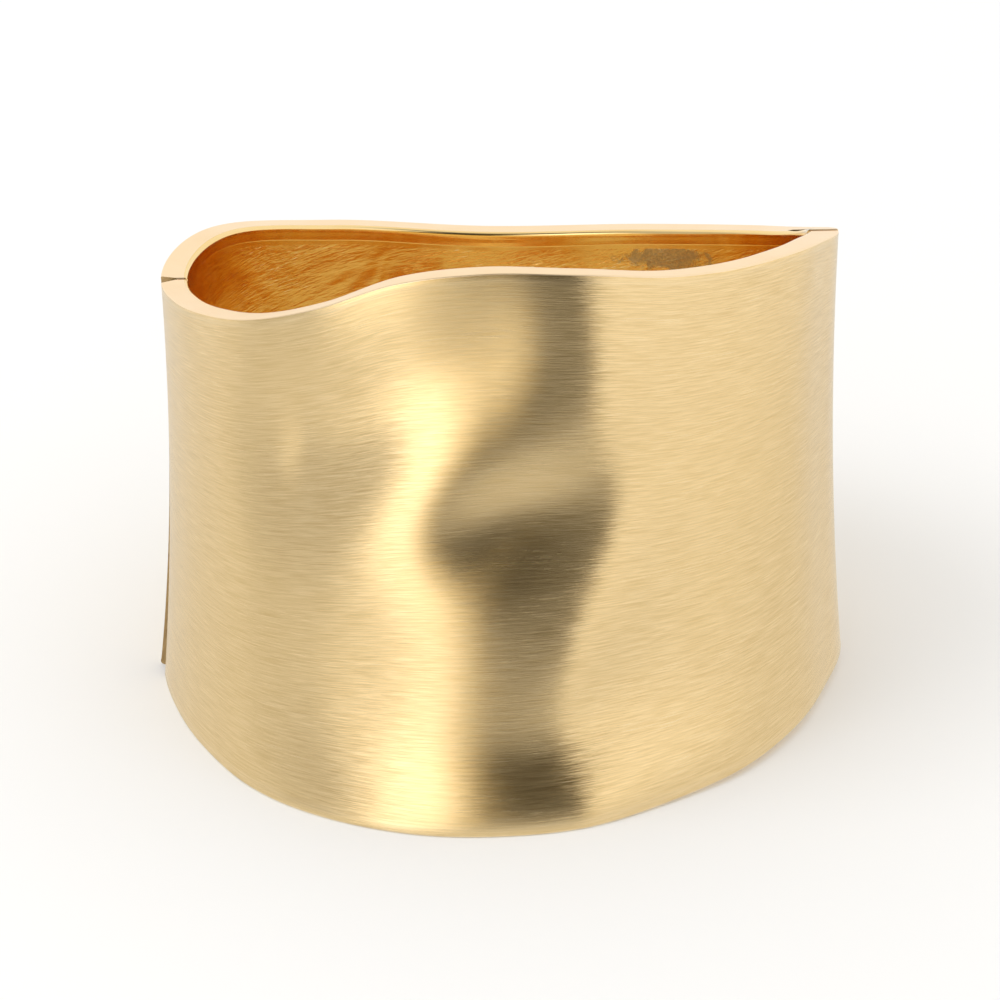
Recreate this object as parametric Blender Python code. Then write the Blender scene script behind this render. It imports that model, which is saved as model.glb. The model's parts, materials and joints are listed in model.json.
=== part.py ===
"""Hinged wide bangle: two leaning half shells, a hinge pin on the left and a spring tongue on the right.

The bangle is drawn upright, with Up along its own axis, and its lower rim cut on a slope. A parent empty then
tilts everything by LEAN, which lays the lower rim flat on the ground. Left is -X, the front plate faces -Y,
and every length in the tables is in millimetres.
"""
import math
from typing import NamedTuple

import bmesh
import bpy
from mathutils import Matrix, Vector

MM = 0.001

# Plan of the outer face at its waist
HALF_WIDTH = 32.7
FRONT_DEPTH = 29.1
BACK_DEPTH = 25.4
FRONT_SKEW = 2.36
FRONT_SWING = 0.78

# Stance and wall
LEAN = math.radians(10)
PANEL_RECESS = 0.8
BORDER = 1.5
LEDGE = 0.25
END_BORDER = 3.4
EDGE = 0.3
SEAM_GAP = 0.3

# Flare of the outer face above and below its waist
WAIST = 0.6
FLARE_FOOT = 1.0
FLARE_TOP = 0.4
BACK_FOOT_PROUD = 0.35
FRONT_FOOT_PROUD = 0.36
FRONT_TOP_PROUD = 0.4

# The dents and the front's extra flare fade out between these distances from the middle,
# so that the seams stay true
DENTS_FULL_TO = 20.0
DENTS_GONE_AT = 29.0

# Hinge on the left seam
OPENING = math.radians(50)
FRONT_BEVEL = math.radians(30)
BACK_BEVEL = OPENING - FRONT_BEVEL
AXIS_DEPTH = 1.15
KNUCKLE_RADIUS = 1.1
KNUCKLE_COUNT = 5
KNUCKLE_GAP = 0.3
SOCKET_RADIUS = 1.3
BORE_RADIUS = 0.6
PIN_RADIUS = 0.45
HINGE_FOOT = 2.5
HINGE_TOP = 38.0
BORE_OVERRUN = 1.0
CORNER_REACH = 6.0
CORNER_OVERLAP = 1.0
CORNER_FOOT = -5.0
CORNER_TOP = 50.0
ROUND_SIDES = 16

# Clasp on the right seam
TONGUE = Vector((0.6, 5.5, 16.0))
TONGUE_FOOT = 14.0
TONGUE_IN_FRONT = 2.0
TONGUE_GAP = 0.3
POCKET_OVERRUN = 1.0

# Narrow slot in the back half's upper rim, beside the clasp
CATCH_SLOT = Vector((0.6, 5.8, 1.3))
CATCH_SLOT_ACROSS = 29.86
CATCH_SLOT_BACK = 5.35
CATCH_SLOT_ANGLE = 372
CATCH_SLOT_TURN = math.radians(15.5)
CATCH_SLOT_ABOVE = 4.0

# Mesh
FRONT_STEPS = 52
BACK_STEPS = 38
FRONT_ROWS = 20
BACK_ROWS = 7
PANEL_ROWS = 6
HALF_TURN = 180
ANGLE_STEP = 0.25
NORMAL_STEP = 0.05
SHARP_ANGLE = math.radians(30)


class Rim(NamedTuple):
    """One section round the bangle: 180 is the hinge, 270 the front, 360 the clasp and 450 the back.

    height is from the ground plane to the upper rim, lift is how far the lower rim stays above that plane,
    and inset is how far the whole wall is pressed in there.
    """

    angle: float
    height: float
    wall: float
    lift: float
    inset: float


RIMS = (
    Rim(angle=180, height=40.8, wall=2.65, lift=0.0, inset=0.0),
    Rim(angle=195, height=42.59, wall=2.65, lift=0.0, inset=0.29),
    Rim(angle=210, height=44.94, wall=2.7, lift=0.0, inset=0.14),
    Rim(angle=225, height=47.68, wall=2.8, lift=0.0, inset=-0.43),
    Rim(angle=240, height=51.11, wall=2.8, lift=0.0, inset=-0.61),
    Rim(angle=255, height=54.9, wall=2.7, lift=0.0, inset=-0.37),
    Rim(angle=270, height=56.1, wall=2.5, lift=0.0, inset=-0.15),
    Rim(angle=285, height=55.36, wall=2.3, lift=0.0, inset=-0.4),
    Rim(angle=300, height=53.21, wall=2.3, lift=0.2, inset=0.01),
    Rim(angle=315, height=51.57, wall=2.4, lift=0.6, inset=0.12),
    Rim(angle=330, height=49.65, wall=2.6, lift=0.9, inset=0.45),
    Rim(angle=345, height=47.24, wall=2.9, lift=1.1, inset=0.79),
    Rim(angle=360, height=44.5, wall=3.1, lift=1.1, inset=0.0),
    Rim(angle=390, height=38.4, wall=2.7, lift=0.6, inset=0.0),
    Rim(angle=420, height=34.2, wall=2.5, lift=0.0, inset=0.0),
    Rim(angle=450, height=32.6, wall=2.5, lift=0.0, inset=0.0),
    Rim(angle=480, height=35.3, wall=2.5, lift=0.0, inset=0.0),
    Rim(angle=510, height=39.3, wall=2.6, lift=0.0, inset=0.0),
)


class Dent(NamedTuple):
    """A soft hollow in the front plate, or a swell where depth is negative.

    It is placed by its distance right of centre and above the foot, and turned by so many degrees.
    """

    name: str
    across: float
    up: float
    half_width: float
    half_height: float
    depth: float
    turn: float


DENTS = (
    Dent("upper_hollow", across=-0.8, up=42.4, half_width=7.8, half_height=19.2, depth=0.31, turn=33.9),
    Dent("middle_hollow", across=-0.7, up=30.65, half_width=8.3, half_height=5.2, depth=1.35, turn=23.4),
    Dent("right_hollow", across=11.6, up=17.0, half_width=7.65, half_height=18.2, depth=0.61, turn=8.0),
    Dent("left_hollow", across=-17.3, up=34.6, half_width=6.4, half_height=12.4, depth=0.84, turn=-14.0),
    Dent("rim_swell", across=3.6, up=52.0, half_width=5.1, half_height=5.9, depth=-0.27, turn=6.9),
    Dent("foot_swell", across=0.5, up=1.3, half_width=18.0, half_height=4.6, depth=-1.33, turn=4.0),
    Dent("slanting_hollow", across=-17.1, up=38.8, half_width=7.1, half_height=21.9, depth=1.58, turn=-54.9),
    Dent("left_foot_hollow", across=-16.2, up=13.2, half_width=8.0, half_height=11.8, depth=1.32, turn=-16.1),
    Dent("right_foot_hollow", across=8.2, up=10.5, half_width=8.7, half_height=5.05, depth=0.63, turn=46.7),
    Dent("small_hollow", across=4.5, up=26.1, half_width=7.55, half_height=4.0, depth=0.33, turn=74.9),
)


class Half(NamedTuple):
    """What tells the two half shells apart."""

    name: str
    start: float
    depth: float
    skew: float
    swing: float
    foot_proud: float
    shift: float
    steps: int
    rows: int
    dents: tuple


FRONT = Half(
    name="front_half",
    start=180,
    depth=FRONT_DEPTH,
    skew=FRONT_SKEW,
    swing=FRONT_SWING,
    foot_proud=0.0,
    shift=-SEAM_GAP / 2,
    steps=FRONT_STEPS,
    rows=FRONT_ROWS,
    dents=DENTS,
)
BACK = Half(
    name="back_half",
    start=360,
    depth=BACK_DEPTH,
    skew=0.0,
    swing=0.0,
    foot_proud=BACK_FOOT_PROUD,
    shift=SEAM_GAP / 2,
    steps=BACK_STEPS,
    rows=BACK_ROWS,
    dents=(),
)


def clear_scene():
    for obj in list(bpy.data.objects):
        bpy.data.objects.remove(obj, do_unlink=True)


def rim_value(angle, column):
    """A column of RIMS at any angle, on a smooth closed curve through its rows."""
    turn = (angle - RIMS[0].angle) % 360 + RIMS[0].angle
    count = len(RIMS)
    here = max(i for i, rim in enumerate(RIMS) if rim.angle <= turn + 1e-9)
    rows = []
    for i in range(here - 1, here + 3):
        rows.append((RIMS[i % count].angle + 360 * (i // count), getattr(RIMS[i % count], column)))
    (a0, v0), (a1, v1), (a2, v2), (a3, v3) = rows
    t = (turn - a1) / (a2 - a1)
    slope_1 = (v2 - v0) / (a2 - a0) * (a2 - a1)
    slope_2 = (v3 - v1) / (a3 - a1) * (a2 - a1)
    return (
        (2 * t**3 - 3 * t**2 + 1) * v1
        + (t**3 - 2 * t**2 + t) * slope_1
        + (3 * t**2 - 2 * t**3) * v2
        + (t**3 - t**2) * slope_2
    )


def outline(half, angle):
    """The point of the waist outline at this angle, an oval whose fullest part sits a little to the left."""
    turn = math.radians(angle)
    cos = math.cos(turn)
    sin = math.sin(turn)
    x = HALF_WIDTH * cos - half.skew * sin**2
    y = half.depth * sin + half.swing * cos * sin**2
    return Vector((x, y))


def outward(half, angle):
    """The outline's outward normal."""
    along = outline(half, angle + NORMAL_STEP) - outline(half, angle - NORMAL_STEP)
    return Vector((along.y, -along.x)).normalized()


def ease(t):
    """A smooth step from 0 to 1."""
    t = min(1.0, max(0.0, t))
    return t * t * (3 - 2 * t)


def bulge(half, angle, share, across, up):
    """How far the outer face stands out from its waist outline, dents counted as negative."""
    out = -rim_value(angle, "inset")
    strength = 0.0
    if half is FRONT:
        strength = ease((DENTS_GONE_AT - abs(across)) / (DENTS_GONE_AT - DENTS_FULL_TO))
    if share < WAIST:
        near_hinge = max(0.0, -math.cos(math.radians(angle))) ** 4
        flare = FLARE_FOOT + FRONT_FOOT_PROUD * strength + half.foot_proud * near_hinge
        out += flare * (1 - share / WAIST) ** 2
    else:
        flare = FLARE_TOP + FRONT_TOP_PROUD * strength
        out += flare * ((share - WAIST) / (1 - WAIST)) ** 2
    for dent in half.dents:
        turn = math.radians(dent.turn)
        cos = math.cos(turn)
        sin = math.sin(turn)
        beside = across - dent.across
        above = up - dent.up
        u = (beside * cos + above * sin) / dent.half_width
        v = (above * cos - beside * sin) / dent.half_height
        out -= strength * dent.depth * math.exp(-u * u - v * v)
    return out


def foot_height(y):
    """The sloping plane of the lower rim, which LEAN lays flat."""
    return y * math.tan(LEAN)


def section(half, angle, recess):
    """The wall's closed section at one angle: up the outer face, across the rim and down the inside."""
    base = outline(half, angle)
    normal = outward(half, angle)
    height = rim_value(angle, "height")
    wall = rim_value(angle, "wall")
    lift = max(0.0, rim_value(angle, "lift"))

    def out(share):
        return bulge(half, angle, share, base.x, share * height)

    foot = foot_height((base + normal * out(0)).y + half.shift) + lift

    def point(offset, up):
        spot = base + normal * offset
        return Vector((spot.x, spot.y + half.shift, up))

    def foot_point(offset, up):
        spot = point(offset, 0)
        spot.z = foot_height(spot.y) + lift + up
        return spot

    def level(share):
        return foot + share * (height - lift)

    top = level(1)
    loop = [foot_point(out(0) - EDGE, 0), foot_point(out(0), EDGE)]
    for row in range(1, half.rows):
        share = row / half.rows
        loop.append(point(out(share), level(share)))
    loop += [point(out(1), top - EDGE), point(out(1) - EDGE, top)]

    band_top = 1 - BORDER / height
    band_foot = BORDER / height
    loop += [point(out(1) - wall + EDGE, top), point(out(1) - wall, top - EDGE)]
    loop.append(point(out(band_top) - wall, top - BORDER))
    for row in range(PANEL_ROWS + 1):
        share = band_top + (band_foot - band_top) * row / PANEL_ROWS
        inset = LEDGE * (1 - 2 * row / PANEL_ROWS)
        loop.append(point(out(share) - wall + recess, level(share) - inset))
    loop.append(foot_point(out(band_foot) - wall, BORDER))
    loop += [foot_point(out(0) - wall, EDGE), foot_point(out(0) - wall + EDGE, 0)]
    return loop


def stations(half):
    """The angles of the sections, evenly spaced, with two close ones at each end of the panel."""
    count = round(HALF_TURN / ANGLE_STEP) + 1
    fine = [half.start + i * ANGLE_STEP for i in range(count)]
    lengths = [0.0]
    for a, b in zip(fine, fine[1:]):
        lengths.append(lengths[-1] + (outline(half, b) - outline(half, a)).length)
    total = lengths[-1]
    inner = [END_BORDER, END_BORDER + LEDGE]
    even = [total * i / half.steps for i in range(1, half.steps)]
    clear = END_BORDER + 2 * LEDGE
    wanted = [0.0] + inner + [d for d in even if clear < d < total - clear]
    wanted += [total - d for d in reversed(inner)] + [total]
    found = []
    for distance in wanted:
        i = min(max(j for j, length in enumerate(lengths) if length <= distance), len(fine) - 2)
        share = (distance - lengths[i]) / (lengths[i + 1] - lengths[i])
        inside = END_BORDER < distance < total - END_BORDER
        found.append((fine[i] + share * ANGLE_STEP, PANEL_RECESS if inside else 0.0))
    return found


def new_object(name, mesh, material, parent):
    obj = bpy.data.objects.new(name, mesh)
    bpy.context.scene.collection.objects.link(obj)
    obj.parent = parent
    if material:
        mesh.materials.append(material)
    mesh.shade_smooth()
    mesh.set_sharp_from_angle(angle=SHARP_ANGLE)
    return obj


def mesh_of(name, bm):
    bmesh.ops.recalc_face_normals(bm, faces=bm.faces)
    bmesh.ops.scale(bm, vec=Vector((MM, MM, MM)), verts=bm.verts)
    mesh = bpy.data.meshes.new(name)
    bm.to_mesh(mesh)
    bm.free()
    return mesh


def shell_mesh(half):
    """Sections bridged one to the next, with a flat end face at each seam."""
    bm = bmesh.new()
    rings = [[bm.verts.new(p) for p in section(half, a, recess)] for a, recess in stations(half)]
    count = len(rings[0])
    for ring, after in zip(rings, rings[1:]):
        for i in range(count):
            j = (i + 1) % count
            bm.faces.new((ring[i], ring[j], after[j], after[i]))
    bm.faces.new(rings[0])
    bm.faces.new(reversed(rings[-1]))
    return mesh_of(half.name, bm)


def cylinder(bm, x, y, radius, low, high):
    """An upright prism with ROUND_SIDES sides."""
    place = Matrix.Translation((x, y, (low + high) / 2))
    bmesh.ops.create_cone(
        bm,
        cap_ends=True,
        segments=ROUND_SIDES,
        radius1=radius,
        radius2=radius,
        depth=high - low,
        matrix=place,
    )


def box(bm, low, high, turn=0.0):
    """A box between two corners, turned about its own upright axis."""
    size = high - low
    spin = Matrix.Rotation(turn, 4, "Z")
    place = Matrix.Translation((low + high) / 2) @ spin @ Matrix.Diagonal((*size, 1))
    bmesh.ops.create_cube(bm, size=1, matrix=place)


def hinge_x():
    return -(HALF_WIDTH - AXIS_DEPTH)


def knuckles(which):
    """The lowest and highest level of each knuckle of one half: 0 is the front's, 1 the back's."""
    pitch = (HINGE_TOP - HINGE_FOOT + KNUCKLE_GAP) / KNUCKLE_COUNT
    spans = []
    for i in range(which, KNUCKLE_COUNT, 2):
        low = HINGE_FOOT + i * pitch
        spans.append((low, low + pitch - KNUCKLE_GAP))
    return spans


def bevel_wedge(bm, half, angle):
    """The wedge cut from a half's outer corner at the hinge, so that it can swing without touching."""
    side = -1 if half is FRONT else 1
    inner = hinge_x()
    outer = inner - CORNER_REACH
    edge = half.shift
    corners = (
        (inner, edge - side * CORNER_OVERLAP),
        (inner, edge),
        (outer, edge + side * CORNER_REACH * math.tan(angle)),
        (outer, edge - side * CORNER_OVERLAP),
    )
    floor = [bm.verts.new((x, y, CORNER_FOOT)) for x, y in corners]
    roof = [bm.verts.new((x, y, CORNER_TOP)) for x, y in corners]
    bm.faces.new(floor)
    bm.faces.new(reversed(roof))
    for i in range(4):
        j = (i + 1) % 4
        bm.faces.new((floor[i], roof[i], roof[j], floor[j]))


def helper(name, fill, parent):
    """A hidden tool object for a Boolean."""
    bm = bmesh.new()
    fill(bm)
    obj = bpy.data.objects.new(name, mesh_of(name, bm))
    bpy.context.scene.collection.objects.link(obj)
    obj.parent = parent
    obj.hide_render = True
    obj.display_type = "WIRE"
    return obj


def combine(target, tool, operation):
    modifier = target.modifiers.new(tool.name, "BOOLEAN")
    modifier.operation = operation
    modifier.solver = "EXACT"
    modifier.object = tool


def clasp_centre():
    return HALF_WIDTH - rim_value(360, "wall") / 2


def add_hinge(shell, half, which, parent):
    """Bevels the outer corner, sinks the other half's sockets, adds this half's knuckles and bores them."""
    axis = hinge_x()
    bevel = FRONT_BEVEL if half is FRONT else BACK_BEVEL

    def wedge(bm):
        bevel_wedge(bm, half, bevel)

    def sockets(bm):
        for low, high in knuckles(1 - which):
            cylinder(bm, axis, 0, SOCKET_RADIUS, low - KNUCKLE_GAP, high + KNUCKLE_GAP)

    def barrels(bm):
        for low, high in knuckles(which):
            cylinder(bm, axis, 0, KNUCKLE_RADIUS, low, high)

    def bore(bm):
        cylinder(bm, axis, 0, BORE_RADIUS, HINGE_FOOT - BORE_OVERRUN, HINGE_TOP + BORE_OVERRUN)

    combine(shell, helper(half.name + "_corner_cutter", wedge, parent), "DIFFERENCE")
    combine(shell, helper(half.name + "_socket_cutter", sockets, parent), "DIFFERENCE")
    combine(shell, helper(half.name + "_knuckles", barrels, parent), "UNION")
    combine(shell, helper(half.name + "_bore_cutter", bore, parent), "DIFFERENCE")


def add_pocket(shell, half, parent):
    """The pocket for the clasp tongue in the end of a half."""
    centre = clasp_centre()
    ahead = TONGUE.y - TONGUE_IN_FRONT
    if half is FRONT:
        ends = (-TONGUE_IN_FRONT - TONGUE_GAP, POCKET_OVERRUN)
    else:
        ends = (-POCKET_OVERRUN, ahead + TONGUE_GAP)
    half_thick = TONGUE.x / 2 + TONGUE_GAP

    def pocket(bm):
        low = Vector((centre - half_thick, ends[0], TONGUE_FOOT - TONGUE_GAP))
        high = Vector((centre + half_thick, ends[1], TONGUE_FOOT + TONGUE.z + TONGUE_GAP))
        box(bm, low, high)

    combine(shell, helper(half.name + "_pocket_cutter", pocket, parent), "DIFFERENCE")


def add_catch_slot(shell, parent):
    """The narrow slot in the back half's upper rim, following the rim beside the clasp."""
    rim = foot_height(CATCH_SLOT_BACK) + rim_value(CATCH_SLOT_ANGLE, "height")
    middle = Vector((CATCH_SLOT_ACROSS, CATCH_SLOT_BACK, rim))
    reach = Vector((CATCH_SLOT.x / 2, CATCH_SLOT.y / 2, 0))

    def slot(bm):
        low = middle - reach - Vector((0, 0, CATCH_SLOT.z))
        high = middle + reach + Vector((0, 0, CATCH_SLOT_ABOVE))
        box(bm, low, high, CATCH_SLOT_TURN)

    combine(shell, helper("catch_slot_cutter", slot, parent), "DIFFERENCE")


def metal(name, colour, roughness):
    material = bpy.data.materials.new(name)
    material.use_nodes = True
    shader = material.node_tree.nodes["Principled BSDF"]
    shader.inputs["Base Color"].default_value = (*colour, 1)
    shader.inputs["Metallic"].default_value = 1.0
    shader.inputs["Roughness"].default_value = roughness
    return material


def middle_of(parts):
    """The middle of the parts' common box in plan."""
    points = [part.matrix_world @ v.co for part in parts for v in part.data.vertices]
    xs = [p.x for p in points]
    ys = [p.y for p in points]
    return Vector(((min(xs) + max(xs)) / 2, (min(ys) + max(ys)) / 2, 0))


def build():
    clear_scene()
    stance = bpy.data.objects.new("stance", None)
    bpy.context.scene.collection.objects.link(stance)
    hinge_axis = bpy.data.objects.new("hinge_axis", None)
    bpy.context.scene.collection.objects.link(hinge_axis)
    hinge_axis.parent = stance
    hinge_axis.location = Vector((hinge_x(), 0, 0)) * MM

    front_gold = metal("brushed_gold_front", (0.86, 0.66, 0.36), 0.32)
    back_gold = metal("brushed_gold_back", (0.84, 0.63, 0.33), 0.32)
    front = new_object(FRONT.name, shell_mesh(FRONT), front_gold, stance)
    back_mesh = shell_mesh(BACK)
    back_mesh.transform(Matrix.Translation(-hinge_axis.location))
    back = new_object(BACK.name, back_mesh, back_gold, hinge_axis)

    add_hinge(front, FRONT, 0, stance)
    add_hinge(back, BACK, 1, stance)
    add_pocket(front, FRONT, stance)
    add_pocket(back, BACK, stance)
    add_catch_slot(back, stance)

    pin = bmesh.new()
    cylinder(pin, hinge_x(), 0, PIN_RADIUS, HINGE_FOOT, HINGE_TOP)
    pin_metal = metal("pin_metal", (0.72, 0.52, 0.25), 0.25)
    new_object("hinge_pin", mesh_of("hinge_pin", pin), pin_metal, stance)

    tongue = bmesh.new()
    low = Vector((clasp_centre() - TONGUE.x / 2, -TONGUE_IN_FRONT, TONGUE_FOOT))
    box(tongue, low, low + TONGUE)
    tongue_metal = metal("tongue_metal", (0.78, 0.58, 0.3), 0.22)
    new_object("clasp_tongue", mesh_of("clasp_tongue", tongue), tongue_metal, stance)

    stance.rotation_euler = (-LEAN, 0, 0)
    bpy.context.view_layer.update()
    stance.location = -middle_of([front, back])


build()
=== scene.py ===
"""Looks of the hinged wide bangle, on a pale studio floor.

Two brushed gold half shells have satin rims and a polished, rippled lining, and the hinge pin and the clasp
tongue are drawn metal. Lengths in the tables are in millimetres, in the upright frame in which the part was
drawn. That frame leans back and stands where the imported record's hinge says.
"""

import json
import math

import bmesh
import bpy
import numpy as np
from mathutils import Matrix, Vector


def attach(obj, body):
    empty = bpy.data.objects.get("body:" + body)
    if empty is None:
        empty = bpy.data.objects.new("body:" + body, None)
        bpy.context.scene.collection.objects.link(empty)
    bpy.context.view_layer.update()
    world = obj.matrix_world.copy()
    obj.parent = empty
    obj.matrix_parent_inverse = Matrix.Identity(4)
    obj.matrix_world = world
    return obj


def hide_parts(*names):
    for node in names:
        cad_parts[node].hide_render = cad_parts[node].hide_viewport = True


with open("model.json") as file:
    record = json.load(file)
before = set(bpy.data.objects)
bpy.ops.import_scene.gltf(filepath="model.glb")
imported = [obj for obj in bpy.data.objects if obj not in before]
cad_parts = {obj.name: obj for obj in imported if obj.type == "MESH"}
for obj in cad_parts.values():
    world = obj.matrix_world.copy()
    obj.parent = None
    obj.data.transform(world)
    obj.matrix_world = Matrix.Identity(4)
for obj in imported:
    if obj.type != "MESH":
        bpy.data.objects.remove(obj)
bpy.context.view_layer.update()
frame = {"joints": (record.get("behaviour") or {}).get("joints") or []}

MM = 0.001

# Plan of the outer face at its waist, as in the CAD part
HALF_WIDTH = 32.7
FRONT_DEPTH = 29.1
BACK_DEPTH = 25.4
FRONT_SKEW = 2.36
FRONT_SWING = 0.78
SEAM_GAP = 0.3
WAIST = 0.6
FLARE_FOOT = 1.0
FLARE_TOP = 0.4
BACK_FOOT_PROUD = 0.35
FRONT_FOOT_PROUD = 0.36
FRONT_TOP_PROUD = 0.4

# The dents and the front's extra flare fade out between these distances from the middle
DENTS_FULL_TO = 20.0
DENTS_GONE_AT = 29.0

# Section: the radii of its edges, and the lip and step between the border and the sunk panel of the lining
FOOT_EDGE = 0.3
RIM_EDGE = 0.13
INNER_EDGE = 0.38
LIP = 0.012
LIP_HEIGHT = 0.36
LIP_ABOVE_BORDER = 0.6
LIP_SWELLS_TO = 0.72
STEP_FROM = 0.62
BORDER = 1.5
PANEL_RECESS = 0.8
LEDGE = 0.25
END_BORDER = 3.4
END_ROUND = 0.08
END_SHRINK = 1.2

# Ripples of the lining
SLANT = 0.36
RIPPLE_HEIGHT = 0.045
RIPPLE_LENGTH = 3.0
RIPPLE_WIDTH = 1.3
RIPPLE_BEND = 0.6
BEND_LENGTH = 3.1
BEND_WIDTH = 2.3
PATCH_LENGTH = 13
PATCH_WIDTH = 9
RIPPLE_FADE = 12

# Hinge
FRONT_BEVEL = math.radians(30)
BACK_BEVEL = math.radians(20)
AXIS_DEPTH = 1.15
KNUCKLE_RADIUS = 1.1
KNUCKLE_COUNT = 5
KNUCKLE_GAP = 0.3
SOCKET_RADIUS = 1.3
BORE_RADIUS = 0.6
PIN_RADIUS = 0.45
HINGE_FOOT = 2.5
HINGE_TOP = 38.0
HINGE_CHAMFER = 0.12
BORE_OVERRUN = 1
CORNER_REACH = 6.0
CORNER_FOOT = -5
CORNER_TOP = 50

# Clasp
TONGUE = (0.6, 5.5, 16.0)
TONGUE_FOOT = 14.0
TONGUE_IN_FRONT = 2.0
TONGUE_GAP = 0.3
TONGUE_BEVEL = 0.14
POCKET_OVERRUN = 1.0
CATCH_SLOT = (0.6, 5.8, 1.3)
CATCH_SLOT_AT = (29.86, 5.35)
CATCH_SLOT_ANGLE = 372
CATCH_SLOT_TURN = math.radians(15.5)
CATCH_SLOT_ABOVE = 4.0

# Sections round the bangle: 180 is the hinge, 270 the front, 360 the clasp and 450 the back.
# Columns: angle, height, wall, lift of the lower rim, inset of the wall
RIMS = np.array(
    (
        (180, 40.8, 2.65, 0.0, 0.0),
        (195, 42.59, 2.65, 0.0, 0.29),
        (210, 44.94, 2.7, 0.0, 0.14),
        (225, 47.68, 2.8, 0.0, -0.43),
        (240, 51.11, 2.8, 0.0, -0.61),
        (255, 54.9, 2.7, 0.0, -0.37),
        (270, 56.1, 2.5, 0.0, -0.15),
        (285, 55.36, 2.3, 0.0, -0.4),
        (300, 53.21, 2.3, 0.2, 0.01),
        (315, 51.57, 2.4, 0.6, 0.12),
        (330, 49.65, 2.6, 0.9, 0.45),
        (345, 47.24, 2.9, 1.1, 0.79),
        (360, 44.5, 3.1, 1.1, 0.0),
        (390, 38.4, 2.7, 0.6, 0.0),
        (420, 34.2, 2.5, 0.0, 0.0),
        (450, 32.6, 2.5, 0.0, 0.0),
        (480, 35.3, 2.5, 0.0, 0.0),
        (510, 39.3, 2.6, 0.0, 0.0),
    )
)
HEIGHT, WALL, LIFT, INSET = 1, 2, 3, 4

# Soft hollows of the front plate, or swells where depth is negative.
# Columns: across, up, half width, half height, depth, turn in degrees
DENTS = (
    (-0.8, 42.4, 7.8, 19.2, 0.31, 33.9),
    (-0.7, 30.65, 8.3, 5.2, 1.35, 23.4),
    (11.6, 17.0, 7.65, 18.2, 0.61, 8.0),
    (-17.3, 34.6, 6.4, 12.4, 0.84, -14.0),
    (3.6, 52.0, 5.1, 5.9, -0.27, 6.9),
    (0.5, 1.3, 18.0, 4.6, -1.33, 4.0),
    (-17.1, 38.8, 7.1, 21.9, 1.58, -54.9),
    (-16.2, 13.2, 8.0, 11.8, 1.32, -16.1),
    (8.2, 10.5, 8.7, 5.05, 0.63, 46.7),
    (4.5, 26.1, 7.55, 4.0, 0.33, 74.9),
)

# Dull grainy stain on the back's lining: its place in the "along" map, and one over its reach there
STAIN_AT = (0.268, 0.458)
STAIN_SCALE = (18.0, 55.0, 0.0)

# How far the strokes of the brushing turn the surface sideways
STROKE_TILT = 0.15

# Mesh: steps along each half, and rows of the outer face, the panel and the smaller bands
FRONT_STEPS = 400
BACK_STEPS = 330
OUTER_ROWS = 96
PANEL_ROWS = 84
RIM_ROWS = 6
BAND_ROWS = 5
LIP_ROWS = 10
STEP_ROWS = 4
FOOT_ROWS = 4
ARC = 5
FINE_ANGLES = 1441
NORMAL_STEP = 0.05
CLEAR_OF_NEXT = 0.05
AT_THE_END = 0.01
# Share of the edge wear and painted highlight given to the rows beside an edge
NEXT_TO_EDGE_WEAR_AND_HIGHLIGHT = 0.35
UV_HEIGHT = 50.0
UV_PER_MM = 0.01
LATTICE = 64
SHELL_SHARP = math.radians(32)
SMALL_SHARP = math.radians(40)

# Zones of the shells; the last, the faces left by the hinge and clasp cuts, is darkened as painted shade of
# the seams
OUTER, RIM, POLISHED, HAMMERED, BARE_WITH_PAINTED_SHADE = range(5)


# ---------------------------------------------------------------- shape

def rim_value(angle, column):
    """A column of RIMS at any angles, on a smooth closed curve through its rows."""
    turn = (np.asarray(angle, float) - 180) % 360 + 180
    at = np.concatenate([RIMS[-2:, 0] - 360, RIMS[:, 0], RIMS[:2, 0] + 360])
    value = np.concatenate([RIMS[-2:, column], RIMS[:, column], RIMS[:2, column]])
    slope = np.zeros_like(value)
    slope[1:-1] = (value[2:] - value[:-2]) / (at[2:] - at[:-2])
    here = np.clip(np.searchsorted(at, turn, side="right") - 1, 1, len(at) - 3)
    span = at[here + 1] - at[here]
    t = (turn - at[here]) / span
    return (
        (2 * t**3 - 3 * t**2 + 1) * value[here]
        + (t**3 - 2 * t**2 + t) * slope[here] * span
        + (3 * t**2 - 2 * t**3) * value[here + 1]
        + (t**3 - t**2) * slope[here + 1] * span
    )


def ease(t):
    """Smooth step from 0 to 1."""
    t = np.clip(t, 0, 1)
    return t * t * (3 - 2 * t)


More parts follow.
